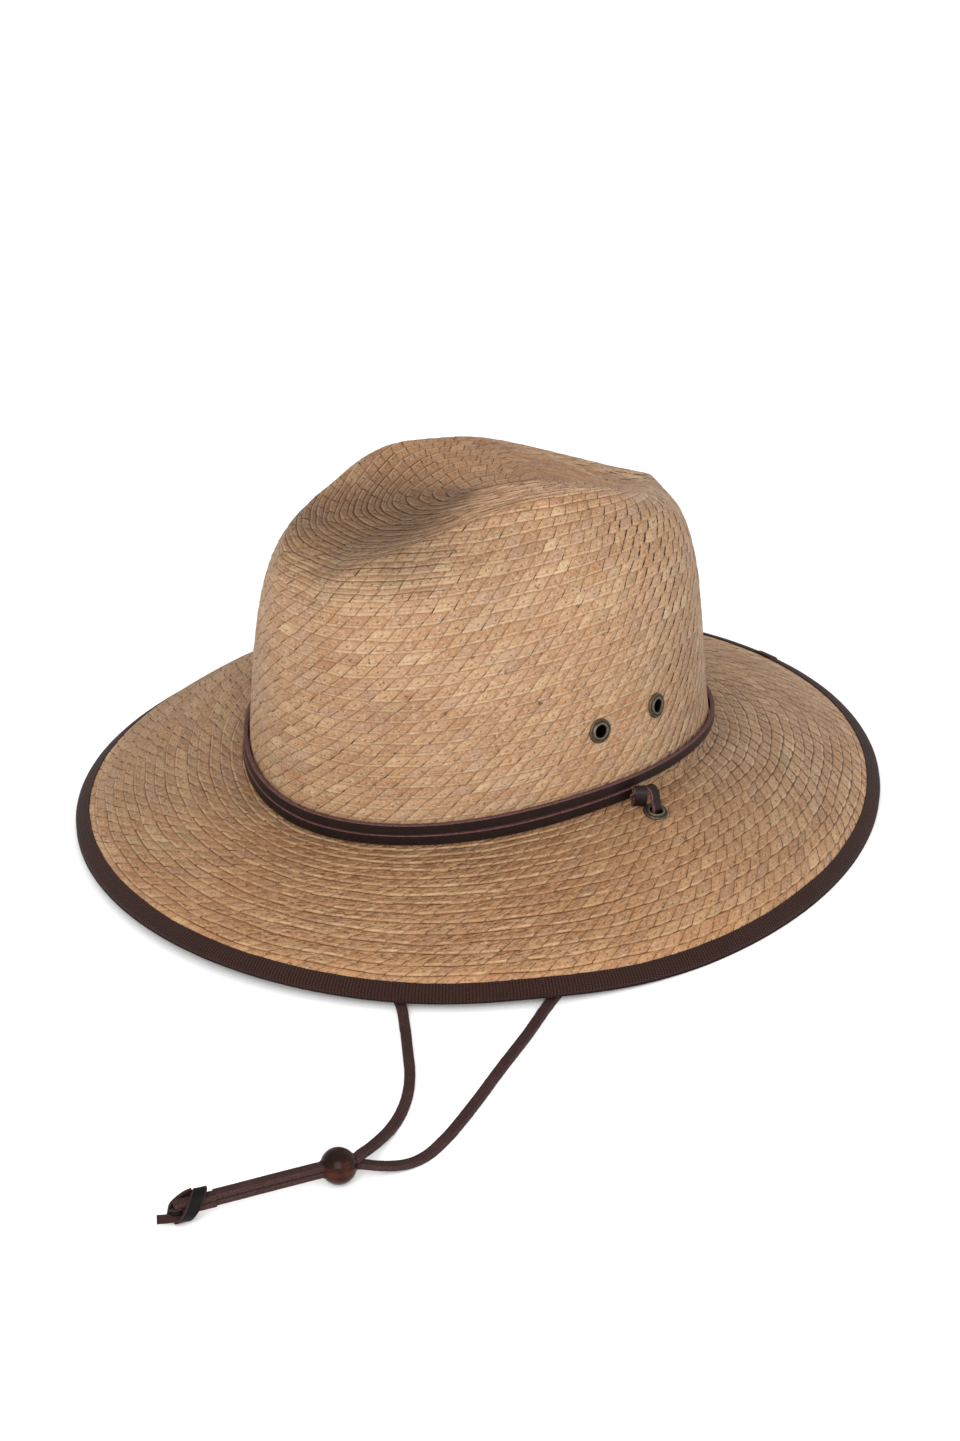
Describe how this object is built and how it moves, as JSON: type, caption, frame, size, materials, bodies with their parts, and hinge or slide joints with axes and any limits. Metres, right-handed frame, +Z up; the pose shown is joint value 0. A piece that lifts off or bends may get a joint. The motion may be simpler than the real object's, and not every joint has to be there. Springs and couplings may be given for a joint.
{
  "type": "straw fedora",
  "caption": "Straw fedora with a creased, pinched crown, a wide drooping brim bound in dark cloth, a leather lace band, brass eyelets and a beaded leather chin cord.",
  "frame": {"origin": "centre of the hat's footprint, on the surface that it rests on; the loose chin cord is not counted", "axes": "+Z up, -Y towards the front of the hat, +X towards the wearer's left"},
  "size_m": [0.3247, 0.4609, 0.1482],
  "materials": {
    "straw": "sewn plaited palm straw, satin",
    "binding_cloth": "matte twill tape",
    "lace_leather": "smooth, low sheen",
    "cord_suede": "matte suede side",
    "eyelet_brass": "antiqued, dull",
    "bead_wood": "dark stain, polished"
  },
  "bodies": {
    "root": {"straw_body": "straw", "brim_binding": "binding_cloth", "band_lace_upper": "lace_leather", "band_lace_lower": "lace_leather", "side_knot_left": "lace_leather", "side_knot_right": "lace_leather", "brim_eyelet_left": "eyelet_brass", "brim_eyelet_right": "eyelet_brass", "vent_eyelet_left_front": "eyelet_brass", "vent_eyelet_left_rear": "eyelet_brass", "vent_eyelet_right_front": "eyelet_brass", "vent_eyelet_right_rear": "eyelet_brass", "chin_cord_left": "cord_suede", "chin_cord_right": "cord_suede", "chin_bead": "bead_wood", "end_knot": "lace_leather"}
  },
  "joints": []
}
